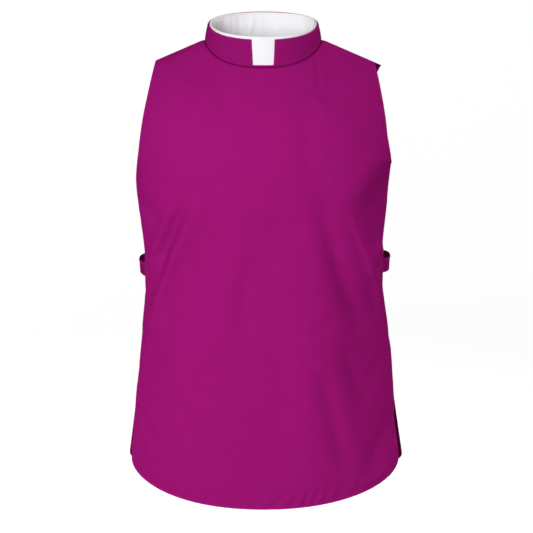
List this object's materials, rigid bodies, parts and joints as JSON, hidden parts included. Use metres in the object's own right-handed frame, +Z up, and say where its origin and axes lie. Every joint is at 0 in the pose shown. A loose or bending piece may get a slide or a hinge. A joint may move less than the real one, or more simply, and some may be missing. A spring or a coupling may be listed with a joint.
{
  "type": "clergy shirtfront",
  "caption": "Sleeveless clergy shirtfront with a curved hem, a stand collar whose front notch shows a white slip-in collar, and straps that tie the front to the back at the waist.",
  "frame": {"origin": "middle of the neck hole, level with the neck ends of the shoulder seams", "axes": "+Z up; the front faces -Y and the back +Y; +X is the wearer's left, the viewer's right"},
  "size_m": [0.3989, 0.2535, 0.693],
  "materials": {
    "purple_cloth": "matt plain weave",
    "strap_cloth": "matt plain weave",
    "white_collar": "smooth starched cloth",
    "button_plastic": "satin"
  },
  "bodies": {
    "root": {"front_panel": "purple_cloth", "back_panel": "purple_cloth", "neckband": "purple_cloth", "collar_insert": "white_collar", "side_strap_left": "strap_cloth", "side_strap_right": "strap_cloth", "neck_button": "button_plastic"}
  },
  "joints": []
}
